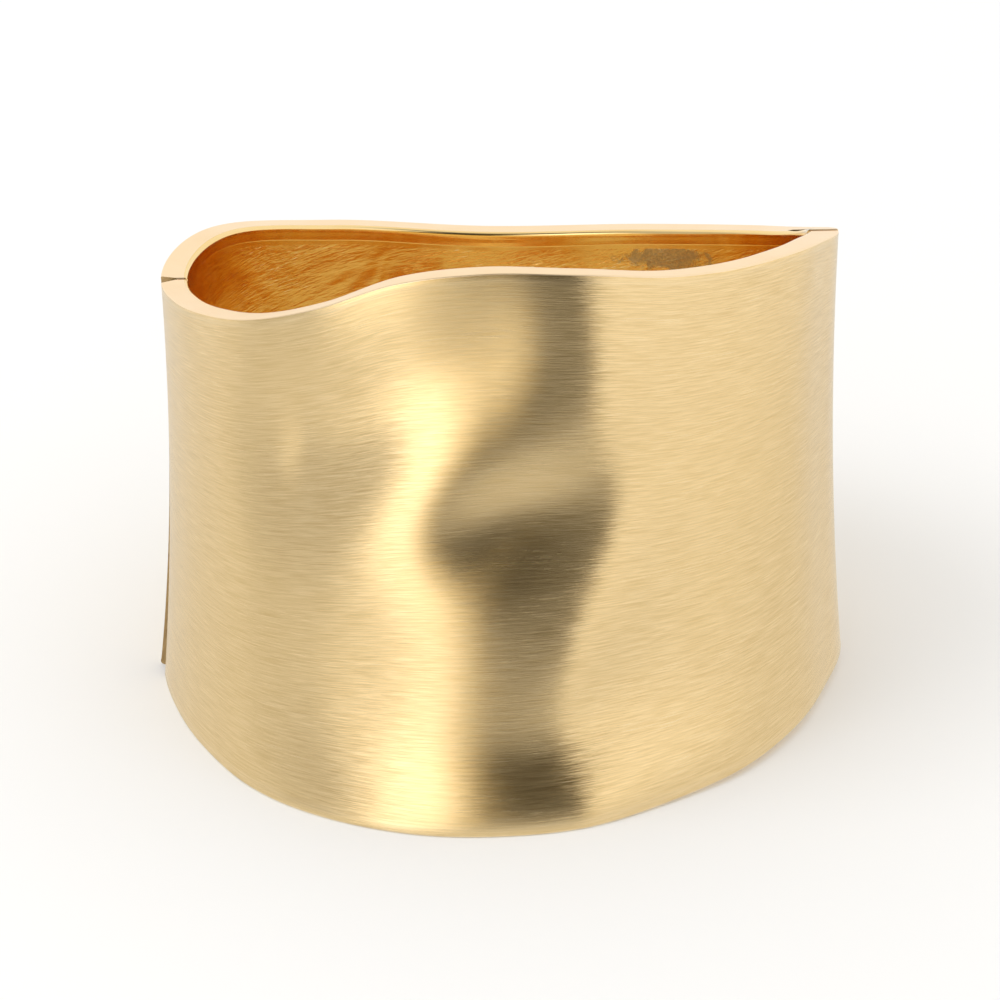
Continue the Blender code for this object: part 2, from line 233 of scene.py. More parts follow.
class Half:
    """One half shell's plan and place."""

    def __init__(self, name, start, depth, skew, swing, foot_proud, side, steps, dents):
        self.name = name
        self.start = start
        self.depth = depth
        self.skew = skew
        self.swing = swing
        self.foot_proud = foot_proud
        self.side = side
        self.shift = side * SEAM_GAP / 2
        self.steps = steps
        self.dents = dents

    def outline(self, angle):
        turn = np.radians(angle)
        cos, sin = np.cos(turn), np.sin(turn)
        x = HALF_WIDTH * cos - self.skew * sin**2
        y = self.depth * sin + self.swing * cos * sin**2
        return np.stack([x, y], axis=-1)

    def outward(self, angle):
        angle = np.asarray(angle)
        along = self.outline(angle + NORMAL_STEP) - self.outline(angle - NORMAL_STEP)
        normal = np.stack([along[..., 1], -along[..., 0]], axis=-1)
        return normal / np.linalg.norm(normal, axis=-1, keepdims=True)

    def bulge(self, angle, share, across, up):
        """How far the outer face stands out from its waist outline."""
        low = np.clip(1 - share / WAIST, 0, 1)
        high = np.clip((share - WAIST) / (1 - WAIST), 0, None)
        near_hinge = np.clip(-np.cos(np.radians(angle)), 0, None) ** 4
        fade = 0.0
        if self.dents:
            fade = ease((DENTS_GONE_AT - np.abs(across)) / (DENTS_GONE_AT - DENTS_FULL_TO))
        out = (FLARE_FOOT + FRONT_FOOT_PROUD * fade + self.foot_proud * near_hinge) * low**2
        out = out + (FLARE_TOP + FRONT_TOP_PROUD * fade) * high**2 - rim_value(angle, INSET)
        for at_x, at_z, half_width, half_height, depth, turn in self.dents:
            cos, sin = math.cos(math.radians(turn)), math.sin(math.radians(turn))
            level, rise = across - at_x, up - at_z
            u = (level * cos + rise * sin) / half_width
            v = (rise * cos - level * sin) / half_height
            out = out - depth * fade * np.exp(-u * u - v * v)
        return out


FRONT = Half("front", 180, FRONT_DEPTH, FRONT_SKEW, FRONT_SWING, 0.0, -1, FRONT_STEPS, DENTS)
BACK = Half("back", 360, BACK_DEPTH, 0.0, 0.0, BACK_FOOT_PROUD, 1, BACK_STEPS, ())


def hinge_x():
    return -(HALF_WIDTH - AXIS_DEPTH)


HINGE_POINT = Vector(frame["joints"][0]["pos_m"])
HINGE_AXIS = Vector(frame["joints"][0]["axis"])
LEAN = math.atan2(HINGE_AXIS.y, HINGE_AXIS.z)
FOOT_PLACE = HINGE_POINT - Vector((hinge_x() * MM, 0, 0))
STANCE = Matrix.Translation(FOOT_PLACE) @ Matrix.Rotation(-LEAN, 4, "X")
STANCE_MM = STANCE @ Matrix.Scale(MM, 4)


def foot_height(y):
    """The sloping plane of the lower rim, which the lean lays flat."""
    return y * math.tan(LEAN)


def lattice_noise(u, v, seed):
    """Smooth noise from -1 to 1 on a unit lattice."""
    table = np.random.default_rng(seed).uniform(-1, 1, (LATTICE, LATTICE))
    iu, iv = np.floor(u).astype(int), np.floor(v).astype(int)
    fu, fv = u - iu, v - iv
    fu, fv = fu * fu * (3 - 2 * fu), fv * fv * (3 - 2 * fv)
    this_u, next_u = iu % LATTICE, (iu + 1) % LATTICE
    this_v, next_v = iv % LATTICE, (iv + 1) % LATTICE
    a = table[this_u, this_v] * (1 - fu) + table[next_u, this_v] * fu
    b = table[this_u, next_v] * (1 - fu) + table[next_u, next_v] * fu
    return a * (1 - fv) + b * fv


def hammering(u, v, slant, seed):
    """Shallow slanting ripples of the lining, in millimetres, with quieter patches between them."""
    along = u * math.cos(slant) + v * math.sin(slant)
    across = v * math.cos(slant) - u * math.sin(slant)
    bend = RIPPLE_BEND * lattice_noise(u / BEND_LENGTH + 9, v / BEND_WIDTH, seed)
    ridges = 1 - 2 * np.abs(lattice_noise(along / RIPPLE_LENGTH, across / RIPPLE_WIDTH + bend, seed + 1))
    patches = np.clip(0.7 + 0.7 * lattice_noise(u / PATCH_LENGTH, v / PATCH_WIDTH + 3, seed + 3), 0.1, 1.2)
    return RIPPLE_HEIGHT * ridges * patches


def stations(half):
    """Angles of the sections, their distance along the wall, and how far the lining's panel is sunk there."""
    fine = np.linspace(half.start, half.start + 180, FINE_ANGLES)
    plan = half.outline(fine)
    lengths = np.concatenate([[0], np.cumsum(np.linalg.norm(np.diff(plan, axis=0), axis=1))])
    total = lengths[-1]
    step_up = END_BORDER + LEDGE * np.linspace(0, 1, 5)
    wanted = np.concatenate([[END_ROUND], step_up, total - step_up, [total - END_ROUND]])
    even = np.linspace(0, total, half.steps + 1)
    clear = np.min(np.abs(even[:, None] - wanted[None, :]), axis=1) > CLEAR_OF_NEXT
    ends = (even < AT_THE_END) | (even > total - AT_THE_END)
    distance = np.sort(np.concatenate([wanted, even[clear | ends]]))
    from_end = np.minimum(distance, total - distance)
    t = np.clip((from_end - END_BORDER) / LEDGE, 0, 1)
    return np.interp(distance, lengths, fine), distance, PANEL_RECESS * t * t * (3 - 2 * t)


def section(half, angle, distance, recess, seed):
    """Rows of points round the wall at every station, each with its zone, share of the height and weight of
    edge wear and painted highlight.
    """
    base, normal = half.outline(angle), half.outward(angle)
    height, wall = rim_value(angle, HEIGHT), rim_value(angle, WALL)
    lift = np.maximum(0.0, rim_value(angle, LIFT))
    ones = np.ones_like(angle)

    def out(share):
        return half.bulge(angle, share, base[:, 0], share * height)

    foot_y = (base + normal * out(0 * ones)[:, None])[:, 1] + half.shift
    foot = foot_height(foot_y) + lift
    top = foot + height - lift
    rows = []

    def add(offset, up, zone, share, edge=0.0, on_foot=False):
        """A ring of points. On the foot, up is measured from the sloping foot plane below each point."""
        spot = base + normal * offset[:, None]
        y = spot[:, 1] + half.shift
        z = foot_height(y) + lift + up if on_foot else up * ones
        rows.append((np.stack([spot[:, 0], y, z], axis=1), zone, share * ones, edge))

    def arc(radius, offset, up, first, last, zone, share, on_foot=False):
        """A rounded edge whose centre is at offset and up."""
        for k in range(ARC + 1):
            turn = math.radians(first + (last - first) * k / ARC)
            # Weight of edge wear and painted highlight, greatest at the middle of the rounded edge
            edge = math.sin(math.pi * k / ARC)
            side, rise = radius * math.cos(turn), radius * math.sin(turn)
            add(offset + side, up + rise, zone, share, edge, on_foot)

    out_foot, out_top = out(0 * ones), out(ones)
    arc(FOOT_EDGE, out_foot - FOOT_EDGE, FOOT_EDGE * ones, -90, 0, OUTER, 0, on_foot=True)
    first, last = FOOT_EDGE / (height - lift), 1 - RIM_EDGE / (height - lift)
    for row in range(1, OUTER_ROWS):
        share = first + (last - first) * row / OUTER_ROWS
        # The rows beside the foot and rim edges take some edge wear and painted highlight
        edge = NEXT_TO_EDGE_WEAR_AND_HIGHLIGHT if row in (1, OUTER_ROWS - 1) else 0.0
        add(out(share), foot + share * (height - lift), OUTER, share, edge)
    arc(RIM_EDGE, out_top - RIM_EDGE, top - RIM_EDGE, 0, 90, RIM, 1)
    flat = wall - RIM_EDGE - INNER_EDGE
    for k in range(1, RIM_ROWS):
        add(out_top - RIM_EDGE - flat * k / RIM_ROWS, top, RIM, 1)
    arc(INNER_EDGE, out_top - wall + INNER_EDGE, top - INNER_EDGE, 90, 180, POLISHED, 1)

    band_top, band_foot = 1 - BORDER / height, BORDER / height
    lip_up = LIP_HEIGHT * LIP_ABOVE_BORDER
    for k in range(1, BAND_ROWS):
        down = INNER_EDGE + (BORDER - lip_up - INNER_EDGE) * k / BAND_ROWS
        add(out(1 - down / height) - wall, top - down, POLISHED, 1 - down / height)
    for k in range(LIP_ROWS + 1):
        t = k / LIP_ROWS
        swell = -LIP * math.sin(math.pi * min(1.0, t / LIP_SWELLS_TO)) ** 2
        offset = out(band_top) - wall + swell + recess * ease((t - STEP_FROM) / (1 - STEP_FROM))
        # The lip's swell carries edge wear and painted highlight
        add(offset, top - BORDER + lip_up - LIP_HEIGHT * t, POLISHED, band_top, -swell / LIP)
    sunk = recess / PANEL_RECESS
    for row in range(1, PANEL_ROWS):
        t = row / PANEL_ROWS
        share = band_top + (band_foot - band_top) * t
        fade = min(1.0, RIPPLE_FADE * min(t, 1 - t))
        ripple = hammering(distance, share * height, -half.side * SLANT, seed) * sunk * fade
        level = foot + share * (height - lift) - LEDGE * (1 - 2 * t)
        add(out(share) - wall + recess + ripple, level, HAMMERED, share)
    for k in range(STEP_ROWS, -1, -1):
        t = k / STEP_ROWS
        level = foot + band_foot * (height - lift) + LEDGE * t
        add(out(band_foot) - wall + recess * ease(t), level, POLISHED, band_foot)
    for k in range(1, BAND_ROWS):
        up = BORDER - (BORDER - FOOT_EDGE) * k / BAND_ROWS
        add(out(up / height) - wall, up, POLISHED, up / height, on_foot=True)
    arc(FOOT_EDGE, out_foot - wall + FOOT_EDGE, FOOT_EDGE * ones, 180, 270, POLISHED, 0, on_foot=True)
    for k in range(1, FOOT_ROWS):
        offset = out_foot - wall + FOOT_EDGE + (wall - 2 * FOOT_EDGE) * k / FOOT_ROWS
        add(offset, 0 * ones, RIM, 0, on_foot=True)
    return rows


def shell(half, materials, seed):
    """The half shell as a closed mesh with small rounded ends, in metres, standing in the row frame."""
    angle, distance, recess = stations(half)
    rows = section(half, angle, distance, recess, seed)
    points = np.stack([row[0] for row in rows], axis=1)
    count, around = points.shape[:2]
    middle = points.mean(axis=1, keepdims=True)
    for end in (0, -1):
        reach = np.linalg.norm(points[end] - middle[end], axis=1, keepdims=True)
        points[end] += (middle[end] - points[end]) / reach * END_ROUND * END_SHRINK
    share = np.stack([row[2] for row in rows], axis=1)
    edge = np.array([row[3] for row in rows])[None, :] * np.ones((count, 1))
    zones = [row[1] for row in rows]

    index = np.arange(count * around).reshape(count, around)
    after = np.roll(index, -1, axis=1)
    quads = np.stack([index[:-1], after[:-1], after[1:], index[1:]], axis=-1).reshape(-1, 4)
    faces = [tuple(q) for q in quads] + [tuple(reversed(index[0])), tuple(index[-1])]
    faces = [tuple(reversed(face)) for face in faces]
    mesh = bpy.data.meshes.new(half.name)
    world = points.reshape(-1, 3) @ np.array(STANCE_MM.to_3x3()).T + np.array(STANCE_MM.translation)
    mesh.from_pydata(world.tolist(), [], faces)
    mesh.update()

    for material in materials:
        mesh.materials.append(material)
    face_zones = np.concatenate([np.tile(zones, count - 1), [RIM, RIM]])
    mesh.polygons.foreach_set("material_index", face_zones.astype(np.int32))
    # Per-point weight of edge wear and painted highlight, which the materials read to lighten the colour
    wear_and_highlight = mesh.attributes.new("edge_wear_and_highlight", "FLOAT", "POINT")
    wear_and_highlight.data.foreach_set("value", edge.reshape(-1).astype(np.float32))
    layer = mesh.uv_layers.new(name="along")
    u = np.repeat(distance, around) * UV_PER_MM
    v = (share * UV_HEIGHT).reshape(-1) * UV_PER_MM
    corner = np.zeros(len(mesh.loops), np.int32)
    mesh.loops.foreach_get("vertex_index", corner)
    layer.data.foreach_set("uv", np.stack([u[corner], v[corner]], axis=1).astype(np.float32).ravel())
    return mesh


def shaped(name, fill, materials=(), zone=0):
    """An object made by a bmesh function in upright millimetres, placed in the row frame."""
    bm = bmesh.new()
    fill(bm)
    bmesh.ops.recalc_face_normals(bm, faces=bm.faces)
    bmesh.ops.transform(bm, matrix=STANCE_MM, verts=bm.verts)
    mesh = bpy.data.meshes.new(name)
    bm.to_mesh(mesh)
    bm.free()
    for material in materials:
        mesh.materials.append(material)
    mesh.polygons.foreach_set("material_index", [zone] * len(mesh.polygons))
    obj = bpy.data.objects.new(name, mesh)
    bpy.context.scene.collection.objects.link(obj)
    return obj


def cylinder(bm, x, y, radius, low, high, sides=48, chamfer=0.0):
    """An upright round bar with chamfered ends."""
    rings = [(radius, low), (radius, high)]
    if chamfer:
        rings = [
            (radius - chamfer, low),
            (radius, low + chamfer),
            (radius, high - chamfer),
            (radius - chamfer, high),
        ]
    turns = [2 * math.pi * k / sides for k in range(sides)]
    loops = []
    for r, z in rings:
        loops.append([bm.verts.new((x + r * math.cos(turn), y + r * math.sin(turn), z)) for turn in turns])
    for a, b in zip(loops, loops[1:]):
        for k in range(sides):
            j = (k + 1) % sides
            bm.faces.new((a[k], a[j], b[j], b[k]))
    bm.faces.new(list(reversed(loops[0])))
    bm.faces.new(loops[-1])


def box(bm, low, high, bevel=0.0, turn=0.0):
    """A box between two corners, turned about its own upright axis, with rounded edges if bevel is given."""
    low, high = Vector(low), Vector(high)
    spin = Matrix.Rotation(turn, 4, "Z")
    place = Matrix.Translation((low + high) / 2) @ spin @ Matrix.Diagonal((*(high - low), 1))
    made = bmesh.ops.create_cube(bm, size=1, matrix=place)
    if bevel:
        edges = {e for v in made["verts"] for e in v.link_edges}
        bmesh.ops.bevel(bm, geom=list(edges), offset=bevel, segments=3, profile=0.5, affect="EDGES")


def knuckles(which):
    """The lowest and highest level of each knuckle of one half: 0 is the front's, 1 the back's."""
    pitch = (HINGE_TOP - HINGE_FOOT + KNUCKLE_GAP) / KNUCKLE_COUNT
    return [
        (HINGE_FOOT + i * pitch, HINGE_FOOT + (i + 1) * pitch - KNUCKLE_GAP)
        for i in range(which, KNUCKLE_COUNT, 2)
    ]


def corner_wedge(bm, half, angle):
    """The wedge cut from a half's outer corner at the hinge, so that it can swing without touching."""
    reach, inner, edge = CORNER_REACH, hinge_x(), half.shift
    corners = (
        (inner, edge - half.side),
        (inner, edge),
        (inner - reach, edge + half.side * reach * math.tan(angle)),
        (inner - reach, edge - half.side),
    )
    bottom = [bm.verts.new((x, y, CORNER_FOOT)) for x, y in corners]
    top = [bm.verts.new((x, y, CORNER_TOP)) for x, y in corners]
    bm.faces.new(bottom)
    bm.faces.new(reversed(top))
    for i in range(4):
        j = (i + 1) % 4
        bm.faces.new((bottom[i], top[i], top[j], bottom[j]))


def clasp_centre():
    return HALF_WIDTH - float(rim_value(360, WALL)) / 2


def cut_shell(half, which, materials, seed):
    """The finished half: shell, hinge corner, knuckles, bore, clasp pocket and the back's catch slot."""
    obj = bpy.data.objects.new(half.name + "_shell", shell(half, materials, seed))
    bpy.context.scene.collection.objects.link(obj)
    axis = hinge_x()
    centre = clasp_centre()
    reach = TONGUE[1] - TONGUE_IN_FRONT
    ends = (-POCKET_OVERRUN, reach + TONGUE_GAP)
    if half is FRONT:
        ends = (-TONGUE_IN_FRONT - TONGUE_GAP, POCKET_OVERRUN)
    half_thick = TONGUE[0] / 2 + TONGUE_GAP
    slot_x, slot_y = CATCH_SLOT_AT
    slot_rim = foot_height(slot_y) + float(rim_value(CATCH_SLOT_ANGLE, HEIGHT))

    def wedge(bm):
        corner_wedge(bm, half, FRONT_BEVEL if half is FRONT else BACK_BEVEL)

    def sockets(bm):
        for low, high in knuckles(1 - which):
            cylinder(bm, axis, 0, SOCKET_RADIUS, low - KNUCKLE_GAP, high + KNUCKLE_GAP)

    def barrels(bm):
        for low, high in knuckles(which):
            cylinder(bm, axis, 0, KNUCKLE_RADIUS, low, high, chamfer=HINGE_CHAMFER)

    def bore(bm):
        cylinder(bm, axis, 0, BORE_RADIUS, HINGE_FOOT - BORE_OVERRUN, HINGE_TOP + BORE_OVERRUN, sides=32)

    def pocket(bm):
        box(
            bm,
            (centre - half_thick, ends[0], TONGUE_FOOT - TONGUE_GAP),
            (centre + half_thick, ends[1], TONGUE_FOOT + TONGUE[2] + TONGUE_GAP),
        )

    def slot(bm):
        box(
            bm,
            (slot_x - CATCH_SLOT[0] / 2, slot_y - CATCH_SLOT[1] / 2, slot_rim - CATCH_SLOT[2]),
            (slot_x + CATCH_SLOT[0] / 2, slot_y + CATCH_SLOT[1] / 2, slot_rim + CATCH_SLOT_ABOVE),
            turn=CATCH_SLOT_TURN,
        )

    steps = [
        (wedge, "DIFFERENCE"),
        (sockets, "DIFFERENCE"),
        (barrels, "UNION"),
        (bore, "DIFFERENCE"),
        (pocket, "DIFFERENCE"),
    ]
    if half is BACK:
        steps.append((slot, "DIFFERENCE"))
    tools = []
    for fill, operation in steps:
        # Faces left by the cuts get the dark cut-face metal, painted shade of the seams
        tool = shaped("tool", fill, materials, BARE_WITH_PAINTED_SHADE)
        modifier = obj.modifiers.new("cut", "BOOLEAN")
        modifier.operation = operation
        modifier.solver = "EXACT"
        modifier.object = tool
        tools.append(tool)
    bpy.context.view_layer.update()
    cut = obj.evaluated_get(bpy.context.evaluated_depsgraph_get())
    made = bpy.data.meshes.new_from_object(cut)
    obj.modifiers.clear()
    obj.data = made
    for tool in tools:
        bpy.data.objects.remove(tool, do_unlink=True)
    made.name = obj.name
    made.shade_smooth()
    made.set_sharp_from_angle(angle=SHELL_SHARP)
    return obj


# ---------------------------------------------------------------- materials

class Nodes:
    """Short calls for building a node tree."""

    def __init__(self, tree):
        self.tree = tree

    def add(self, kind, inputs=(), **settings):
        node = self.tree.nodes.new("ShaderNode" + kind)
        for key, value in settings.items():
            setattr(node, key, value)
        for key, value in dict(inputs).items():
            if isinstance(value, bpy.types.NodeSocket):
                self.tree.links.new(value, node.inputs[key])
            else:
                node.inputs[key].default_value = value
        return node

    def math(self, operation, a, b=0.0, c=0.0):
        return self.add("Math", {0: a, 1: b, 2: c}, operation=operation).outputs[0]

    def noise(self, vector, scale, detail=2.0, rough=0.5):
        keys = {"Vector": vector, "Scale": scale, "Detail": detail, "Roughness": rough}
        return self.add("TexNoise", keys).outputs["Fac"]

    def vector(self, operation, a, b=(0.0, 0.0, 0.0)):
        return self.add("VectorMath", {0: a, 1: b}, operation=operation).outputs[0]

    def stretch(self, vector, u, v, turn=0.0):
        """A vector scaled by u along the wall and by v up it."""
        keys = {"Vector": vector, "Scale": (1 / u, 1 / v, 1), "Rotation": (0, 0, turn)}
        return self.add("Mapping", keys, vector_type="TEXTURE").outputs[0]

    def blend(self, factor, a, b):
        node = self.add("Mix", data_type="RGBA")
        for socket, value in ((node.inputs[0], factor), (node.inputs[6], a), (node.inputs[7], b)):
            if isinstance(value, bpy.types.NodeSocket):
                self.tree.links.new(value, socket)
            else:
                socket.default_value = value
        return node.outputs[2]

    def mix(self, factor, a, b):
        """A plain number between a and b."""
        node = self.add("Mix", data_type="FLOAT")
        for socket, value in zip(node.inputs[0:1] + node.inputs[2:4], (factor, a, b)):
            if isinstance(value, bpy.types.NodeSocket):
                self.tree.links.new(value, socket)
            else:
                socket.default_value = value
        return node.outputs[0]

    def span(self, value, low, high, to_low, to_high, smooth=False):
        kind = "SMOOTHSTEP" if smooth else "LINEAR"
        keys = {"Value": value, "From Min": low, "From Max": high, "To Min": to_low, "To Max": to_high}
        return self.add("MapRange", keys, interpolation_type=kind).outputs[0]

    def bump(self, height, distance, normal=None):
        keys = {"Height": height, "Distance": distance, "Strength": 1.0}
        if normal is not None:
            keys["Normal"] = normal
        return self.add("Bump", keys).outputs[0]


def new_material(name):
    """A metal with its node helper and its shader."""
    material = bpy.data.materials.new(name)
    material.use_nodes = True
    nodes = Nodes(material.node_tree)
    shader = material.node_tree.nodes["Principled BSDF"]
    shader.inputs["Metallic"].default_value = 1.0
    return material, nodes, shader


def link(nodes, source, shader, name):
    nodes.tree.links.new(source, shader.inputs[name])


def brushed_gold():
    """Fine strokes along the wall, with a few longer scratches and soft clouding.

    The strokes' colour, roughness and relief all vary, and each turns the surface a little sideways.
    """
    material, n, shader = new_material("brushed_gold")
    along = n.add("UVMap", uv_map="along").outputs[0]
    fine = n.noise(n.stretch(along, 30, 1200), 1.0, 3.0, 0.65)
    strokes = n.noise(n.stretch(along, 22, 560, 0.004), 1.0, 4.0, 0.65)
    wide = n.noise(n.stretch(along, 5, 60), 1.0, 2.0, 0.5)
    scratch = n.noise(n.stretch(along, 9, 520, 0.03), 1.0, 1.0, 0.5)
    scratch = n.span(scratch, 0.68, 0.78, 0.0, 1.0)
    cloud = n.noise(n.stretch(along, 3, 5), 1.0, 2.0, 0.5)
    streak = n.math("ADD", n.math("MULTIPLY", fine, 0.55), n.math("MULTIPLY", strokes, 0.45))

    wear_and_highlight = n.add("Attribute", attribute_name="edge_wear_and_highlight").outputs["Fac"]
    tone = n.blend(n.span(streak, 0.40, 0.60, 0, 1), (0.78, 0.562, 0.265, 1), (0.97, 0.742, 0.41, 1))
    tone = n.blend(n.math("MULTIPLY", n.span(cloud, 0.35, 0.7, 0, 1), 0.22), tone, (0.925, 0.675, 0.32, 1))
    tone = n.blend(n.math("MULTIPLY", scratch, 0.2), tone, (0.76, 0.54, 0.27, 1))
    # Edges and the rows beside them lighter: rubbed wear and painted highlight
    tone = n.blend(n.math("MULTIPLY", wear_and_highlight, 0.5), tone, (0.99, 0.80, 0.52, 1))
    link(n, tone, shader, "Base Color")
    fine_rough = n.span(streak, 0.3, 0.7, 0.215, 0.285)
    rough = n.math("ADD", fine_rough, n.span(wide, 0.3, 0.7, -0.015, 0.015))
    link(n, n.math("SUBTRACT", rough, n.math("MULTIPLY", wear_and_highlight, 0.08)), shader, "Roughness")
    shader.inputs["Anisotropic"].default_value = 0.9
    shader.inputs["Anisotropic Rotation"].default_value = 0.25
    tangent = n.add("Tangent", direction_type="UV_MAP", uv_map="along").outputs[0]
    link(n, tangent, shader, "Tangent")
    height = n.math("ADD", n.math("MULTIPLY", fine, 0.6), strokes)
    height = n.math("SUBTRACT", height, n.math("MULTIPLY", scratch, 0.5))
    tilt = n.math("MULTIPLY", n.math("SUBTRACT", fine, 0.5), STROKE_TILT)
    across = n.add("VectorMath", {0: tangent, "Scale": tilt}, operation="SCALE").outputs[0]
    face = n.add("NewGeometry").outputs["Normal"]
    turned = n.vector("NORMALIZE", n.vector("ADD", face, across))
    normal = n.bump(height, 0.0000085, turned)
    link(n, n.bump(wide, 0.000006, normal), shader, "Normal")
    return material


def satin_gold():
    """The rim faces: pale satin with faint strokes along the rim, and rounded edges made brighter by rubbed
    wear and painted highlight.
    """
    material, n, shader = new_material("satin_rim_gold")
    along = n.add("UVMap", uv_map="along").outputs[0]
    place = n.add("TexCoord").outputs["Object"]
    grain = n.noise(place, 9000, 2.0, 0.6)
    strokes = n.noise(n.stretch(along, 60, 400), 1.0, 3.0, 0.6)
    cloud = n.noise(place, 260, 2.0, 0.5)
    wear_and_highlight = n.add("Attribute", attribute_name="edge_wear_and_highlight").outputs["Fac"]
    tone = n.blend(n.span(cloud, 0.3, 0.7, 0, 1), (0.955, 0.715, 0.43, 1), (0.975, 0.75, 0.475, 1))
    # Rounded edges lighter: rubbed wear and painted highlight
    tone = n.blend(n.math("MULTIPLY", wear_and_highlight, 0.35), tone, (1.0, 0.82, 0.58, 1))
    link(n, tone, shader, "Base Color")
    link(n, n.span(grain, 0.3, 0.7, 0.30, 0.40), shader, "Roughness")
    height = n.math("ADD", n.math("MULTIPLY", grain, 0.5), strokes)
    link(n, n.bump(height, 0.0000012), shader, "Normal")
    return material


def polished_gold(name, slant=None, stain=None):
    """The lining: polished gold, with ripples if a slant is given and a dull stain if its place is."""
    material, n, shader = new_material(name)
    place = n.add("TexCoord").outputs["Object"]
    along = n.add("UVMap", uv_map="along").outputs[0]
    cloud = n.noise(place, 170, 3.0, 0.55)
    smudge = n.noise(place, 700, 3.0, 0.6)
    wear_and_highlight = n.add("Attribute", attribute_name="edge_wear_and_highlight").outputs["Fac"]
    tone = n.blend(n.span(cloud, 0.35, 0.7, 0, 1), (0.87, 0.615, 0.245, 1), (0.90, 0.665, 0.305, 1))
    # Inner edges and the lip lighter: rubbed wear and painted highlight
    tone = n.blend(n.math("MULTIPLY", wear_and_highlight, 0.3), tone, (1.0, 0.76, 0.42, 1))
    rough = n.span(smudge, 0.3, 0.75, 0.07, 0.19)
    if stain is not None:
        spot = n.vector("MULTIPLY", n.vector("SUBTRACT", along, (*stain, 0)), STAIN_SCALE)
        reach = n.add("VectorMath", {0: spot}, operation="LENGTH").outputs["Value"]
        grain = n.noise(place, 4200, 3.0, 0.7)
        rag = n.span(n.noise(place, 900, 3.0, 0.6), 0.3, 0.7, -0.35, 0.35)
        spread = n.span(n.math("ADD", reach, rag), 0.6, 1.1, 1, 0, smooth=True)
        mask = n.math("MULTIPLY", spread, n.span(grain, 0.3, 0.6, 0.45, 0.85))
        tone = n.blend(mask, tone, (0.36, 0.27, 0.15, 1))
        rough = n.mix(mask, rough, 0.45)
    link(n, tone, shader, "Base Color")
    link(n, rough, shader, "Roughness")
    micro = n.noise(place, 5200, 2.0, 0.5)
    normal = n.bump(micro, 0.0000012)
    if slant is not None:
        coarse = n.noise(n.stretch(along, 50, 190, slant), 1.0, 2.0, 0.5)
        fine = n.noise(n.stretch(along, 95, 430, slant), 1.0, 2.0, 0.5)
        patches = n.span(n.noise(n.stretch(along, 8, 11), 1.0, 2.0, 0.5), 0.38, 0.6, 0.15, 1.0)
        ripple = n.math("MULTIPLY", n.math("ADD", coarse, n.math("MULTIPLY", fine, 0.5)), patches)
        normal = n.bump(ripple, 0.00007, normal)
    link(n, normal, shader, "Normal")
    return material


def gilt_metal():
    """The pin and the tongue: drawn, lightly gilt metal with rubbed marks."""
    material, n, shader = new_material("drawn_gilt_metal")
    place = n.add("TexCoord").outputs["Object"]
    drawn = n.noise(n.stretch(place, 1800, 1800), 1.0, 3.0, 0.6)
    cloud = n.noise(place, 600, 3.0, 0.6)
    tone = n.blend(n.span(cloud, 0.35, 0.7, 0, 1), (0.80, 0.60, 0.33, 1), (0.90, 0.71, 0.44, 1))
    tone = n.blend(n.math("MULTIPLY", n.span(drawn, 0.45, 0.7, 0, 1), 0.3), tone, (0.66, 0.48, 0.26, 1))
    link(n, tone, shader, "Base Color")
    link(n, n.span(drawn, 0.3, 0.7, 0.18, 0.34), shader, "Roughness")
    link(n, n.bump(drawn, 0.000002), shader, "Normal")
    return material


def bare_metal_with_painted_shade():
    """Cut faces of the hinge and clasp: duller, with fine tool marks, and dark brown with darker blotches as
    painted shade of the seams between the halves.
    """
    material, n, shader = new_material("bare_joint_metal_painted_shade")
    place = n.add("TexCoord").outputs["Object"]
    marks = n.noise(n.stretch(place, 700, 5200), 1.0, 3.0, 0.6)
    dark_blotches = n.noise(place, 900, 3.0, 0.6)
    # Dark tone and darker blotches: painted shade of the hinge and clasp seams
    tone = n.blend(n.span(marks, 0.35, 0.65, 0, 1), (0.34, 0.22, 0.10, 1), (0.48, 0.33, 0.15, 1))
    tone = n.blend(n.span(dark_blotches, 0.55, 0.75, 0, 0.6), tone, (0.20, 0.12, 0.05, 1))
    link(n, tone, shader, "Base Color")
    link(n, n.span(marks, 0.3, 0.7, 0.34, 0.52), shader, "Roughness")
    link(n, n.bump(marks, 0.000004), shader, "Normal")
    return material


# ---------------------------------------------------------------- pieces

GILT = gilt_metal()
COMMON = (brushed_gold(), satin_gold(), polished_gold("polished_gold"))
BARE_METAL_WITH_PAINTED_SHADE = bare_metal_with_painted_shade()
FRONT_MATERIALS = (*COMMON, polished_gold("hammered_gold_front", SLANT), BARE_METAL_WITH_PAINTED_SHADE)
BACK_MATERIALS = (*COMMON, polished_gold("hammered_gold_back", -SLANT, STAIN_AT), BARE_METAL_WITH_PAINTED_SHADE)

front = cut_shell(FRONT, 0, FRONT_MATERIALS, 11)
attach(front, "front")
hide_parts("front_half")

back = cut_shell(BACK, 1, BACK_MATERIALS, 23)
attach(back, "back")
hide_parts("back_half")


def pin_shape(bm):
    cylinder(bm, hinge_x(), 0, PIN_RADIUS, HINGE_FOOT, HINGE_TOP, sides=40, chamfer=HINGE_CHAMFER)


pin = shaped("hinge_pin_drawn", pin_shape, [GILT])
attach(pin, "front")
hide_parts("hinge_pin")


def tongue_shape(bm):
    low = Vector((clasp_centre() - TONGUE[0] / 2, -TONGUE_IN_FRONT, TONGUE_FOOT))
    box(bm, low, low + Vector(TONGUE), bevel=TONGUE_BEVEL)


tongue = shaped("clasp_tongue_spring", tongue_shape, [GILT])
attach(tongue, "front")
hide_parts("clasp_tongue")

for small in (pin, tongue):
    small.data.shade_smooth()
    small.data.set_sharp_from_angle(angle=SMALL_SHARP)


# ---------------------------------------------------------------- studio

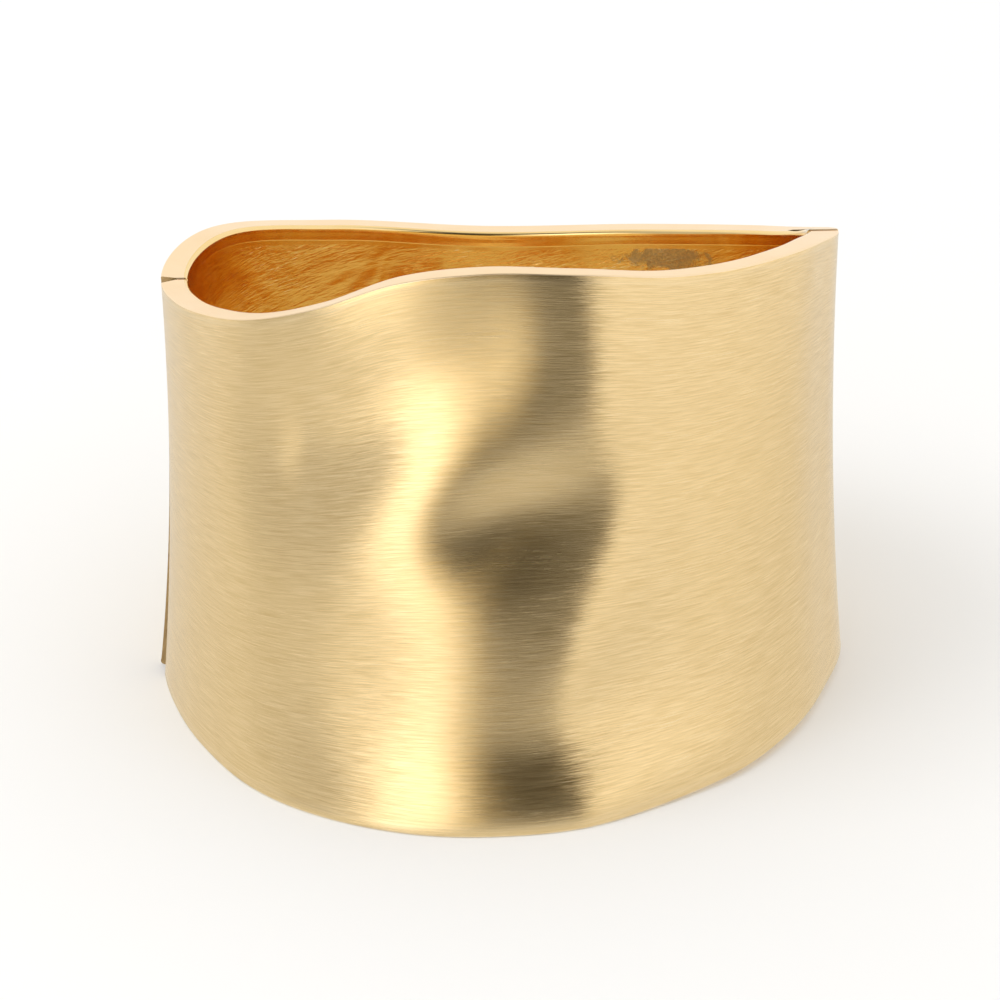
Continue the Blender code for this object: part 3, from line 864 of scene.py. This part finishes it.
def plane(name, half_size, material, sides=0):
    """A flat square, or a disc with so many sides."""
    mesh = bpy.data.meshes.new(name)
    bm = bmesh.new()
    if sides:
        bmesh.ops.create_circle(bm, cap_ends=True, segments=sides, radius=half_size)
    else:
        bmesh.ops.create_grid(bm, x_segments=1, y_segments=1, size=half_size)
    bm.to_mesh(mesh)
    bm.free()
    mesh.materials.append(material)
    obj = bpy.data.objects.new(name, mesh)
    bpy.context.scene.collection.objects.link(obj)
    return obj


paper = bpy.data.materials.new("pale_paper")
paper.use_nodes = True
paper_shader = paper.node_tree.nodes["Principled BSDF"]
paper_shader.inputs["Base Color"].default_value = (0.90, 0.90, 0.897, 1)
paper_shader.inputs["Roughness"].default_value = 0.9
paper_shader.inputs["Specular IOR Level"].default_value = 0.1

# The tent, as reflections see it: azimuths in degrees from the front, and the brightness of its parts
LEFT_PANEL_FROM = (-53.7, -30.6)
GAP_FROM = (-22.1, 8.0)
GAP_TO = (30.9, 38.2)
BACK_WALL_FROM = (80, 125)
LEFT_WALL = 0.61
LEFT_PANEL = 1.85
GAP = 0.06
RIGHT_WALL = 1.08
BACK_WALL = 1.05
TENT_COLOUR = (1.0, 0.995, 0.985, 1)
GAP_COLOUR = (1.0, 0.88, 0.62, 1)
ROOF_FROM = 52.0
ROOF_BLEND = 8
BACK_ROOF_FROM = (50, 110)
FRONT_ROOF = 0.12
BACK_ROOF = 0.9
OPEN_LIGHT = 1.0
FLOOR = 4.0
NEAR_FLOOR = 0.13

# Reflections see the floor only near the object
floor = plane("floor", FLOOR, paper)
floor.visible_glossy = False
near_floor = plane("floor_near", NEAR_FLOOR, paper, sides=96)
near_floor.visible_camera = False
near_floor.visible_diffuse = False
near_floor.visible_shadow = False
near_floor.visible_transmission = False


def studio_world():
    """A pale tent round the object: even walls, a brighter panel on the left and an unlit gap in front."""
    world = bpy.data.worlds.new("studio")
    bpy.context.scene.world = world
    world.use_nodes = True
    tree = world.node_tree
    tree.nodes.clear()
    n = Nodes(tree)
    direction = n.add("TexCoord").outputs["Generated"]
    split = n.add("SeparateXYZ", {0: direction}).outputs
    azimuth = n.math("ARCTAN2", split[0], n.math("MULTIPLY", split[1], -1.0))
    degrees = n.math("MULTIPLY", azimuth, 180 / math.pi)
    climb = n.math("MULTIPLY", n.math("ARCSINE", split[2]), 180 / math.pi)
    side = n.math("ABSOLUTE", degrees)
    wall = n.span(degrees, *LEFT_PANEL_FROM, LEFT_WALL, LEFT_PANEL, smooth=True)
    past_panel = n.span(degrees, *GAP_FROM, 0, 1, smooth=True)
    past_gap = n.span(degrees, *GAP_TO, 0, 1, smooth=True)
    wall = n.mix(past_panel, wall, GAP)
    wall = n.mix(past_gap, wall, RIGHT_WALL)
    wall = n.mix(n.span(side, *BACK_WALL_FROM, 0, 1, smooth=True), wall, BACK_WALL)
    roof = n.span(side, *BACK_ROOF_FROM, FRONT_ROOF, BACK_ROOF, smooth=True)
    overhead = n.span(climb, ROOF_FROM - ROOF_BLEND, ROOF_FROM + ROOF_BLEND, 0, 1, smooth=True)
    tent = n.mix(overhead, wall, roof)
    rays = n.add("LightPath").outputs
    level = n.mix(rays["Is Glossy Ray"], OPEN_LIGHT, tent)
    in_gap = n.math("SUBTRACT", past_panel, past_gap)
    colour = n.blend(n.math("MULTIPLY", in_gap, rays["Is Glossy Ray"]), TENT_COLOUR, GAP_COLOUR)
    shine = n.add("Background", {"Color": colour, "Strength": level})
    out = n.add("OutputWorld")
    tree.links.new(shine.outputs[0], out.inputs["Surface"])


studio_world()


# The soft key light: its side and place in metres, its power in watts and where it points
KEY_SIDE = 0.5
KEY_POWER = 1.6
KEY_PLACE = Vector((-0.45, -0.1, 0.75))
KEY_TARGET = Vector((0, 0, 0.02))


def soft_key():
    """A square light that the metal doesn't reflect."""
    light = bpy.data.lights.new("soft_key", "AREA")
    light.shape = "RECTANGLE"
    light.size = KEY_SIDE
    light.size_y = KEY_SIDE
    light.energy = KEY_POWER
    obj = bpy.data.objects.new("soft_key", light)
    bpy.context.scene.collection.objects.link(obj)
    obj.location = KEY_PLACE
    obj.rotation_mode = "QUATERNION"
    obj.rotation_quaternion = (KEY_TARGET - KEY_PLACE).to_track_quat("-Z", "Y")
    obj.visible_glossy = False


soft_key()

# Camera
VIEW_AZIMUTH = math.radians(-2.4)
VIEW_ELEVATION = math.radians(30)
VIEW_DISTANCE = 0.7
SENSOR = 36.0
FOCAL_SHARE = 7.12
NEAREST = 0.01
FURTHEST = 50
AIM_FROM_STANCE = Vector((-0.3, 0, 18.6))
AIM = AIM_FROM_STANCE * MM + Vector((STANCE.translation.x, STANCE.translation.y, 0))
back_way = Vector(
    (
        math.sin(VIEW_AZIMUTH) * math.cos(VIEW_ELEVATION),
        -math.cos(VIEW_AZIMUTH) * math.cos(VIEW_ELEVATION),
        math.sin(VIEW_ELEVATION),
    )
)
camera_data = bpy.data.cameras.new("camera")
camera_data.sensor_width = SENSOR
camera_data.lens = SENSOR * FOCAL_SHARE
camera_data.clip_start = NEAREST
camera_data.clip_end = FURTHEST
camera = bpy.data.objects.new("camera", camera_data)
bpy.context.scene.collection.objects.link(camera)
camera.location = AIM + back_way * VIEW_DISTANCE
camera.rotation_mode = "QUATERNION"
camera.rotation_quaternion = (-back_way).to_track_quat("-Z", "Y")
bpy.context.scene.camera = camera
bpy.context.scene.view_settings.view_transform = "Standard"

# The polished lining reflects itself many times over
MOST_BOUNCES = 16
MOST_GLOSSY_BOUNCES = 12
bpy.context.scene.cycles.max_bounces = MOST_BOUNCES
bpy.context.scene.cycles.glossy_bounces = MOST_GLOSSY_BOUNCES
